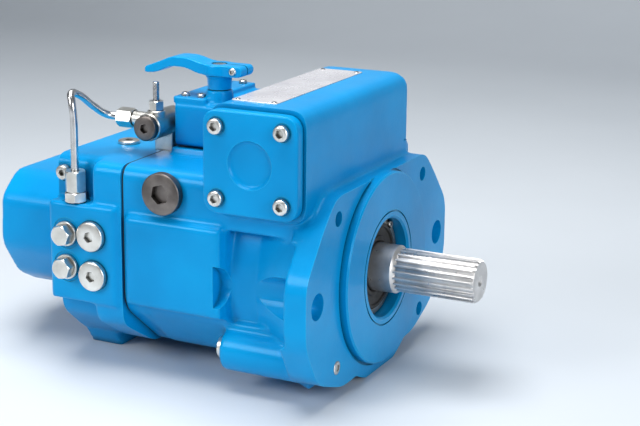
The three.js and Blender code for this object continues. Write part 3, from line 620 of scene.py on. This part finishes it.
# ---- Port plate with its plugs
def port_plate_casting():
    body = prism("port_plate", "x", [(-106, 84), (-106, -44), (-60, -72), (50, -72), (98, -30), (98, 84)],
                 -200, PORT_FRONT + CAST_EXTRA, 10)
    join(
        body,
        prism("rear", "x", [(-93, 84), (-93, -44), (-60, -72), (50, -72), (98, -30), (98, 84)],
              PORT_REAR - CAST_EXTRA, -199, 10),
        block("lower", PORT_REAR + 0.5, -176, PORT_SIDE, -80, -30, LEDGE, 4),
        prism("foot", "x", [(-88, -30), (-48, FLOOR - CAST_EXTRA), (48, FLOOR - CAST_EXTRA), (80, -30)],
              PORT_REAR + 0.5, -210, 3),
        block("pads", PORT_REAR + 6, PORT_FRONT - 2, 90, WORK_PORT_FACE + CAST_EXTRA, -62, 62, 5),
    )
    cast(body)
    return cut(
        body,
        block("front", PORT_FRONT, 60, -160, 160, -120, 180),
        block("rear_face", PORT_REAR - 60, PORT_REAR, -160, 160, -120, 180),
        block("under", PORT_REAR - 9, -150, -160, 160, FLOOR - 40, FLOOR),
        block("port_face", PORT_REAR - 9, -150, WORK_PORT_FACE, 160, -80, 80),
    )


SIDE_PLUGS = {
    node: (middle(node).x, middle(node).z, kind) for node, kind in [
        ("hex_plug_upper", "hex"), ("hex_plug_lower", "hex"), ("socket_plug_upper", "socket"),
        ("socket_plug_lower", "socket")]
}
WORK_PORT_X, WORK_PORT_Z, WORK_PORT_R = -206.0, 32.0, 12.7
BOLT_X, BOLT_Z = 13.1, 26.2


def make_port_plate():
    body = port_plate_casting()
    cut(
        body,
        rod("seat", "x", 26.3, 26.3, -192.5, PORT_FRONT + 1, sides=72),
        rod("shaft", "x", 14, 14, PORT_REAR - 1, PORT_FRONT, sides=48),
        rod("pressure", "z", 4.3, 4.3, LEDGE - 14, LEDGE + 1, FITTING_X, FITTING_Y, 24),
        rod("test", "y", 5.4, 5.4, -94, -78, TEST_PORT_X, TEST_PORT_Z, 24),
        rod("test_spot", "y", 8.0, 8.0, -99, -92.4, TEST_PORT_X, TEST_PORT_Z, 40),
        rod("fitting_spot", "z", 11.5, 11.5, LEDGE - 0.4, LEDGE + 6, FITTING_X, FITTING_Y, 40),
    )
    for x, z, kind in SIDE_PLUGS.values():
        cut(body, rod("hole", "y", 6.4 if kind == "hex" else 8.4, 6.4 if kind == "hex" else 8.4,
                      PORT_SIDE - 1, PORT_SIDE + 18, x, z, 32),
            rod("spot", "y", 12.8, 12.8, PORT_SIDE - 2, PORT_SIDE + 0.5, x, z, 48))
    for side in (-1, 1):
        z = side * WORK_PORT_Z
        cut(body, rod("port", "y", WORK_PORT_R, WORK_PORT_R, 68, 110, WORK_PORT_X, z, 48),
            lathe("seal", "y", [(106.2, 15.5), (106.2, 19.5), (109, 19.5), (109, 15.5)], WORK_PORT_X, z, 64))
        for u, v in CORNERS:
            cut(body, rod("bolt", "y", 4.5, 4.5, 92, 110, WORK_PORT_X + u * BOLT_X, z + v * BOLT_Z, 24))
    finish_piece(body, "port_plate_casting", "root", "blue_paint", PAINT, "port_plate", angle=38)


def hex_plug(name, x, z):
    face = PORT_SIDE - GAP
    plug = hexagon(name, "y", 15, face - 10, face - 2, x, z, 0.2, 1.4)
    washer = lathe("washer", "y", [(face - 2.5, 0), (face - 2.5, 9.6), (face - 2.1, 10), (face, 10),
                                   (face, 0)], x, z, 56)
    join(plug, washer, rod("shank", "y", 6, 6, face - 1, PORT_SIDE + 14, x, z, 32))
    return finish_piece(plug, name + "_turned", "root", "zinc_plate", ZINC, name)


def make_side_plugs():
    for name, (x, z, kind) in SIDE_PLUGS.items():
        if kind == "hex":
            hex_plug(name, x, z)
        else:
            socket_screw(name + "_turned", "y", 12, 5, -1, PORT_SIDE - GAP, x, z, 8, 8, 14, nodes=(name,))
    socket_screw("test_port_plug_turned", "y", 6, 5, -1, -93.3, TEST_PORT_X, TEST_PORT_Z, 5, 5, 11,
                 nodes=("test_port_plug",))
    socket_screw("drain_plug_turned", "x", 9, 6, -1, -86.3, DRAIN_Y, DRAIN_Z, 6, 6, 12,
                 nodes=("drain_plug",))
    socket_screw("side_plug_turned", "y", 16.5, 6.7, -1, -104.3, SIDE_PLUG_X, SIDE_PLUG_Z, 14, 13, 16,
                 look=DARK, slot="dark_plug", nodes=("side_plug",))
    socket_screw("top_port_plug", "z", 9, 3, 1, 83.9, -211, -34, 7)
    socket_screw("flange_bolt", "x", 5.4, 0.9, 1, -0.2, -80, -58, 5)


# ---- Charge pump
def make_charge_pump():
    joint_x = PORT_REAR - GAP
    body = prism("charge", "x", [(-62, 58), (62, 58), (84, 40), (86, 0), (66, -30), (40, -44), (-40, -44),
                                 (-66, -30), (-86, 0), (-84, 40)], CHARGE_REAR, joint_x + CAST_EXTRA, 8)
    join(body, rod("inlet", "y", 19, 16, 40, INLET_FACE + CAST_EXTRA, INLET_X, 0))
    cast(body)
    cut(
        body,
        block("seam", joint_x, -180, -160, 160, -120, 180),
        block("inlet_face", -310, -258, INLET_FACE, INLET_FACE + 40, -30, 30),
        rod("chamber", "x", 33.3, 33.3, -262.3, PORT_REAR + 1, 2.6, 0, 72),
        rod("tail", "x", 9, 9, -272, -262, sides=40),
        rod("mouth", "y", 11, 11, 60, INLET_FACE + 1, INLET_X, 0, 48),
    )
    finish_piece(body, "charge_pump_casting", "root", "blue_paint", PAINT, "charge_pump_housing", angle=38)
    face = CHARGE_REAR - GAP
    rim = face - 17.7
    profile = [(face, 0), (face, 45.4), (face - 0.8, 46), (face - 15, 43.4), (rim + 0.3, 41), (rim, 39),
               (rim, 25), (COVER_REAR + 0.8, 24), (COVER_REAR, 23), (COVER_REAR, 0)]
    cover = lathe("cover", "x", profile, sides=128)
    finish_piece(cover, "charge_pump_cover_cast", "root", "blue_paint", PAINT, "charge_pump_cover", angle=38)
    for i in range(6):
        t = math.pi / 6 + i * math.pi / 3
        socket_screw(f"charge_cover_screw_{i + 1}", "x", 4.2, 2.4, -1, rim + 0.05, 32 * math.cos(t),
                     32 * math.sin(t), 4)


# ---- Control, lever and cut-off valve
def make_control():
    body = prism("control", "x", [(-50, 90.3), (34, 90.3), (34, CONTROL_TOP - 4), (-50, CONTROL_TOP - 4)],
                 -158, -100, 5)
    join(body, block("lid", -160, -130, -49, 34, CONTROL_TOP - 5, CONTROL_TOP, 2),
         rod("post", "z", 12, 10, CONTROL_TOP - 6, CONTROL_TOP + 6, LEVER_X, LEVER_Y))
    cast(body, 1.1, 4)
    cut(
        body,
        block("base", -170, -90, -60, 44, 80, 90.3),
        rod("well", "z", 12.5, 12.5, 89, 122, LEVER_X, LEVER_Y, 56),
        rod("shaft_hole", "z", 6.5, 6.5, 120, CONTROL_TOP + 8, LEVER_X, LEVER_Y, 48),
        rod("spool_bore", "x", 7.3, 7.3, -161, -104, -26, 101, 48),
    )
    finish_piece(body, "control_casting", "root", "blue_paint", PAINT, "control_housing", angle=38)
    for i, (x, y) in enumerate([(-152, -42), (-138, -42), (-152, 26), (-138, 26)]):
        socket_screw(f"control_lid_screw_{i + 1}", "z", 3.4, 3, 1, CONTROL_TOP - 0.1, x, y, 3)


def make_lever():
    x, z, t, reach = LEVER_X, LEVER_Z, LEVER_THICK, LEVER_REACH
    side = [(x + 25, z), (x + 25, z + t), (x - 9, z + t), (x - 24, z + 12.5), (x - 38, z + 12.5),
            (x - 52, z + 6.5), (x - reach, z + 2.5), (x - reach, z - 2.5), (x - 52, z - 1.5),
            (x - 40, z + 4.5), (x - 26, z + 4.5), (x - 12, z)]
    bar = prism("bar", "y", side, LEVER_Y - 10, LEVER_Y + 10, 5)
    join(bar, rod("hub", "z", 13, 12, z, z + t, x, LEVER_Y))
    cast(bar, 0.8, 4)
    cut(bar, rod("link", "z", 3.5, 3.5, z - 20, z + 20, x - reach + 8, LEVER_Y, 32),
        rod("eye", "z", 6.3, 6.3, z - 4, z + t + 4, x, LEVER_Y, 40),
        block("slit", x, x + 30, LEVER_Y - 0.8, LEVER_Y + 0.8, z - 3, z + t + 3))
    finish_piece(bar, "control_lever_arm", "lever", "blue_paint", PAINT, "control_lever")
    foot = CONTROL_TOP + 6.8
    hub = lathe("hub", "z", [(foot, 6.4), (foot, 9.2), (z - 3, 9.8), (z - 0.4, 11.4), (z - 0.4, 6.4)],
                x, LEVER_Y, 56)
    finish_piece(hub, "lever_hub_sleeve", "lever", "blue_paint", PAINT)
    socket_screw("lever_pinch_screw", "y", 3.2, 1.6, -1, LEVER_Y - 9.6, x + 17, z + t / 2, 3, body="lever")


def make_lever_shaft():
    x, y, z, t = LEVER_X, LEVER_Y, LEVER_Z, LEVER_THICK
    stem = rod("stem", "z", 6, 6, 108, z + t - 0.5, x, y, 40, chamfer=0.6)
    join(stem, rod("plate", "z", 11.5, 11.5, 110, 115, x, y, 48),
         rod("pin", "z", 2.5, 2.5, 99, 111, x, y + 8, 24), block("web", x - 3, x + 3, y, y + 10, 109, 112))
    finish_piece(stem, "lever_shaft_turned", "lever", "bright_steel", STEEL, "lever_shaft")


def make_valve():
    x, y, z = VALVE_X, VALVE_Y, VALVE_Z
    body = rod("valve", "y", 11, 11, -68, -28, x, z, 72, chamfer=0.8)
    join(body, block("base", x - 9, x + 8, -44, -30, 84.3, z, 1.5),
         rod("neck", "z", 7, 7, z, z + 12.5, x + 2, y, 48, chamfer=0.5),
         rod("outlet", "x", 6, 6, x - 18, x, y, z + 4, 40, chamfer=0.5))
    cut(body, rod("seat", "y", 7.4, 7.4, -69, -61, x, z, 40),
        rod("thread", "z", 3, 3, z + 4, z + 13, x + 2, y, 24),
        rod("bore", "x", 3.4, 3.4, x - 19, x - 10, y, z + 4, 24))
    finish_piece(body, "cutoff_valve_turned", "root", "zinc_plate", ZINC, "cutoff_valve_body")
    socket_screw("cutoff_plug_turned", "y", 10, 5.2, -1, -68.3, x, z, 7, 7, 6.8, look=DARK, slot="dark_plug",
                 nodes=("cutoff_valve_plug",))
    screw = rod("screw", "z", 2.6, 2.6, z + 5, z + 35, x + 2, y, 32, chamfer=0.5)
    for i in range(13):
        at = z + 21 + i
        cut(screw, lathe("thread", "z", [(at, 2.2), (at + 0.25, 2.8), (at - 0.25, 2.8)], x + 2, y, 32))
    finish_piece(screw, "setting_screw_turned", "root", "bright_steel", STEEL, "setting_screw")
    nut = hexagon("nut", "z", 11, z + 12.8, z + 20, x + 2, y)
    cut(nut, rod("hole", "z", 3, 3, z, z + 30, x + 2, y, 24))
    finish_piece(nut, "setting_locknut_turned", "root", "zinc_plate", ZINC, "setting_locknut")


PIPE_ROUTE = [
    (-190, -58, 111), (-198.5, -58, 111), (-206.5, -58, 111), (-213, -62, 112.5), (-218, -74, 121),
    (-222, -88, 132), (-222, -98, 134.5), (-218.5, -102.5, 128), (-217, -103, 116), (-217, -103, 90),
    (-217, -103, 58),
]


def make_pipe():
    """The drawn steel pipe, swept along a smooth line through the route's points."""
    curve = bpy.data.curves.new("pipe_line", "CURVE")
    curve.dimensions = "3D"
    curve.bevel_depth = 3.0 * MM
    curve.bevel_resolution = 6
    curve.resolution_u = 10
    curve.use_fill_caps = True
    spline = curve.splines.new("BEZIER")
    spline.bezier_points.add(len(PIPE_ROUTE) - 1)
    for point, at in zip(spline.bezier_points, PIPE_ROUTE):
        point.co = place(*at)
        point.handle_left_type = point.handle_right_type = "AUTO"
    holder = bpy.data.objects.new("pipe_line", curve)
    bpy.context.scene.collection.objects.link(holder)
    mesh = bpy.data.meshes.new_from_object(holder.evaluated_get(bpy.context.evaluated_depsgraph_get()))
    pipe = bpy.data.objects.new("pipe", mesh)
    bpy.context.scene.collection.objects.link(pipe)
    bpy.data.objects.remove(holder)
    turn_outwards(pipe)
    finish_piece(pipe, "pressure_pipe_drawn", "root", "bright_steel", STEEL, "pressure_pipe", angle=60)


def make_pipe_nuts():
    upper = hexagon("nut", "x", 14, VALVE_X - 32, VALVE_X - 18.3, VALVE_Y, VALVE_Z + 4, 0.2, 1.2)
    cut(upper, rod("hole", "x", 3.6, 3.6, VALVE_X - 33, VALVE_X - 17, VALVE_Y, VALVE_Z + 4, 32))
    finish_piece(upper, "pipe_nut_upper_turned", "root", "zinc_plate", ZINC, "pipe_nut_upper")
    lower = hexagon("nut", "z", 15, LEDGE + 8.3, LEDGE + 25, FITTING_X, FITTING_Y, 0.2, 1.6)
    cut(lower, rod("hole", "z", 3.3, 3.3, LEDGE, LEDGE + 30, FITTING_X, FITTING_Y, 32))
    finish_piece(lower, "pipe_nut_lower_turned", "root", "zinc_plate", ZINC, "pipe_nut_lower")
    base = hexagon("base", "z", 16, LEDGE + GAP, LEDGE + 8, FITTING_X, FITTING_Y, 0, 1.0)
    join(base, rod("shank", "z", 4, 4, LEDGE - 12, LEDGE + 1, FITTING_X, FITTING_Y, 32))
    cut(base, rod("hole", "z", 3.4, 3.4, LEDGE + 4, LEDGE + 9, FITTING_X, FITTING_Y, 24))
    finish_piece(base, "pipe_fitting_turned", "root", "zinc_plate", ZINC, "pipe_fitting")


# ---- Shaft, seal and rotating group
def spline_outline():
    """Tooth flanks of the shaft's 21-tooth spline, with rounded roots."""
    teeth, outer, root = SPLINE_TEETH, SPLINE_OUTER_R, SPLINE_ROOT_R
    points = []
    for i in range(teeth):
        for part, r in [(-0.30, root), (-0.24, root + 0.25), (-0.13, outer - 0.12), (-0.10, outer),
                        (0.10, outer), (0.13, outer - 0.12), (0.24, root + 0.25), (0.30, root)]:
            t = 2 * math.pi * (i + part) / teeth
            points.append((r * math.cos(t), r * math.sin(t)))
    return points


def make_shaft():
    body = lathe("shaft", "x", [
        (-266, 0), (-266, 7.4), (-265.4, 8), (-200, 8), (-200, 12.2), (-176, 12.2), (-176, 16), (-36, 16),
        (-36, 17.2), (-12, 17.2), (-12, 18.4), (-11.4, COLLAR_R), (14.8, COLLAR_R), (15.8, 18.2),
        (18, SPLINE_ROOT_R), (18, 0)], sides=96)
    spline = prism("spline", "x", spline_outline(), 17, SPLINE_END, 0)
    end = lathe("end", "x", [(16, 0), (16, 18.2), (79, 18.2), (SPLINE_END, SPLINE_ROOT_R), (SPLINE_END, 0)],
                sides=96)
    combine(spline, "INTERSECT", end)
    join(body, spline)
    cut(body, lathe("centre", "x", [(73, 0), (76, 2.0), (80, 2.0), (82.4, 4.6), (82.4, 0)], sides=40))
    finish_piece(body, "drive_shaft_ground", "shaft", "bright_steel", SHAFT_STEEL, "drive_shaft", angle=28)


def make_seal():
    seal = lathe("seal", "x", [(-8.7, 19.5), (-8.7, 34), (-3.9, 34), (-3.5, 33.6), (-3.5, 31.4), (-5, 31),
                               (-5, 24.4), (-3.8, 23.6), (-3.8, 21), (-5.5, 19.5)], sides=112)
    finish_piece(seal, "shaft_seal_moulded", "root", "seal_rubber", RUBBER, "shaft_seal")
    ring = lathe("ring", "x", [(-8.7, 34.5), (-8.7, 39.1), (-4.9, 39.1), (-4.5, 38.7), (-4.5, 34.5)],
                 sides=128)
    for t in (0.9, 2.24):
        lug = rod("lug", "x", 3.4, 3.4, -8.4, -2.2, -36.2 * math.cos(t), 36.2 * math.sin(t), 28, chamfer=0.4)
        combine(lug, "INTERSECT", rod("wall", "x", 39.1, 39.1, -9, 0, sides=128))
        cut(lug, rod("bore", "x", 34.4, 34.4, -9, 0, sides=128))
        join(ring, lug)
        cut(ring, rod("eye", "x", 1.1, 1.1, -10, 0, -36.7 * math.cos(t), 36.7 * math.sin(t), 20))
    finish_piece(ring, "retaining_ring_stamped", "root", "grey_iron", IRON, "retaining_ring")


def piston_profile():
    ball, neck, r, tail = 6.2, 3.6, 9.5, 51.0
    profile = [(-tail, 0), (-tail, r - 1.5), (-tail + 1.5, r), (-40, r), (-39.6, r - 0.5), (-38.6, r - 0.5),
               (-38.2, r), (-14, r), (-12, r - 1), (-9.5, neck)]
    last = math.pi - math.asin(neck / ball)
    for i in range(13):
        t = last * (1 - i / 12)
        profile.append((ball * math.cos(t), max(0.0, ball * math.sin(t))))
    return profile


def slipper_profile():
    pad, neck, face, step, socket = 13.0, 10.4, 8.0, 4.0, 6.8
    mouth = math.pi - math.acos(4 / socket)
    profile = [(socket * math.cos(mouth * i / 10), max(0.0, socket * math.sin(mouth * i / 10)))
               for i in range(11)]
    return profile + [(-4, neck - 0.6), (-3.4, neck), (step, neck), (step, pad), (face - 0.4, pad),
                      (face, pad - 0.4), (face, 9.6), (face - 0.5, 9.2), (face - 0.5, 5), (face, 4.6),
                      (face, 0)]


def make_pistons():
    for i in range(PISTON_COUNT):
        t = 2 * math.pi * i / PISTON_COUNT
        y, z = PISTON_PITCH * math.cos(t), PISTON_PITCH * math.sin(t)
        shift = [(TILT_X + x, r) for x, r in piston_profile()]
        piston = lathe("piston", "x", shift, y, z, 56)
        finish_piece(piston, f"piston_{i + 1}_ground", f"piston_{i + 1}_body", "bright_steel", STEEL,
                     f"piston_{i + 1}")
        shift = [(TILT_X + x, r) for x, r in slipper_profile()]
        slipper = lathe("slipper", "x", shift, y, z, 56)
        finish_piece(slipper, f"slipper_{i + 1}_turned", f"slipper_{i + 1}_body", "bronze", BRONZE,
                     f"slipper_{i + 1}")


# ---- Blank data plate on the servo box
def make_plate():
    top = BOX_Z[1]
    plate = block("plate", -82, -44, -95, 56, top - 0.6, top + 0.5, 3, 0.2)
    finish_piece(plate, "data_plate_blank", "root", "bright_steel", PLATE)
    for i, (x, y) in enumerate([(-78, -91), (-48, -91), (-78, 52), (-48, 52)]):
        rivet = lathe("rivet", "z", [(top + 0.3, 0), (top + 0.3, 2.2), (top + 0.9, 1.8), (top + 1.3, 0.9),
                                     (top + 1.4, 0)], x, y, 28)
        finish_piece(rivet, f"data_plate_rivet_{i + 1}", "root", "bright_steel", STEEL)


# ---- Camera, floor and light
CAMERA_AT = (479.3, -1100.4, 366.8)


def make_camera():
    """A long lens at the photograph's viewing angle, 28 degrees round from the side and 15 degrees up."""
    azimuth, elevation = math.radians(28.25), math.radians(14.65)
    right = Vector((math.cos(azimuth), math.sin(azimuth), 0))
    back = Vector((math.sin(azimuth) * math.cos(elevation), -math.cos(azimuth) * math.cos(elevation),
                   math.sin(elevation)))
    up = back.cross(right)
    data = bpy.data.cameras.new("camera")
    data.sensor_width = 36.0
    data.lens = 89.5
    data.shift_x, data.shift_y = 0.1, -0.0203
    data.clip_start, data.clip_end = 0.05, 30.0
    camera = bpy.data.objects.new("camera", data)
    bpy.context.scene.collection.objects.link(camera)
    turn = Matrix((right, up, back)).transposed().to_4x4()
    camera.matrix_world = Matrix.Translation(place(*CAMERA_AT)) @ turn
    bpy.context.scene.camera = camera


def area_light(name, at, aim, size, power, colour=(1, 1, 1)):
    data = bpy.data.lights.new(name, "AREA")
    data.shape = "RECTANGLE"
    data.size, data.size_y = size
    data.energy = power
    data.color = colour
    light = bpy.data.objects.new(name, data)
    light.location = at
    light.rotation_euler = (Vector(aim) - Vector(at)).to_track_quat("-Z", "Y").to_euler()
    bpy.context.scene.collection.objects.link(light)


def make_studio():
    """A pale sweep under a broad overhead softbox, a key from the front left and a fill from the right."""
    half, depth, rise, steps = 3.0, 2.2, 2.4, 16
    verts, faces = [], []
    profile = [(-3.0, 0.0), (depth - 0.8, 0.0)]
    profile += [(depth - 0.8 + 0.8 * math.sin(math.pi / 2 * i / steps),
                 0.8 - 0.8 * math.cos(math.pi / 2 * i / steps)) for i in range(1, steps + 1)]
    profile.append((depth, rise))
    for y, z in profile:
        verts += [(-half, y, z), (half, y, z)]
    for i in range(len(profile) - 1):
        faces.append((2 * i, 2 * i + 1, 2 * i + 3, 2 * i + 2))
    mesh = bpy.data.meshes.new("sweep")
    mesh.from_pydata(verts, [], faces)
    for polygon in mesh.polygons:
        polygon.use_smooth = True
    sweep = bpy.data.objects.new("sweep", mesh)
    sweep.location.z = -0.0002
    bpy.context.scene.collection.objects.link(sweep)
    material, tree, shader = node_material("pale_floor")
    at = coordinates(tree)
    tone = ramp(tree, noise(tree, at, 2.0), (0.3, (0.56, 0.60, 0.64)), (0.7, (0.60, 0.64, 0.68)))
    tree.links.new(tone, shader.inputs["Base Color"])
    tree.links.new(spread(tree, noise(tree, at, 12.0), 0.55, 0.65), shader.inputs["Roughness"])
    mesh.materials.append(material)
    area_light("overhead", (-0.15, -0.05, 1.5), (0, 0, 0.1), (1.3, 0.9), 30)
    area_light("key", (-0.9, -1.5, 1.05), (0, 0, 0.1), (0.7, 0.7), 17)
    area_light("fill", (1.6, -0.9, 0.7), (0.05, 0, 0.1), (0.7, 0.9), 16, (0.95, 0.98, 1.0))
    world = bpy.data.worlds.new("studio")
    world.use_nodes = True
    world.node_tree.nodes["Background"].inputs["Color"].default_value = (0.78, 0.84, 0.92, 1.0)
    world.node_tree.nodes["Background"].inputs["Strength"].default_value = 0.22
    bpy.context.scene.world = world


def dress_frame():
    """Every frame node still on show takes the look of its material slot."""
    slots = {part["node"]: part["material_slot"] for part in frame["record"]["subparts"]}
    for name, node in frame["nodes"].items():
        node.data.materials.clear()
        node.data.materials.append(SLOT_LOOKS[slots[name]])
        node.data.set_sharp_from_angle(angle=math.radians(32))


make_camera()
make_studio()
dress_frame()
make_housing()
make_servo_covers()
make_port_plate()
make_side_plugs()
make_charge_pump()
make_control()
make_lever()
make_lever_shaft()
make_valve()
make_pipe()
make_pipe_nuts()
make_shaft()
make_seal()
make_pistons()
make_plate()

bpy.context.scene.view_settings.view_transform = "Standard"
bpy.context.view_layer.update()
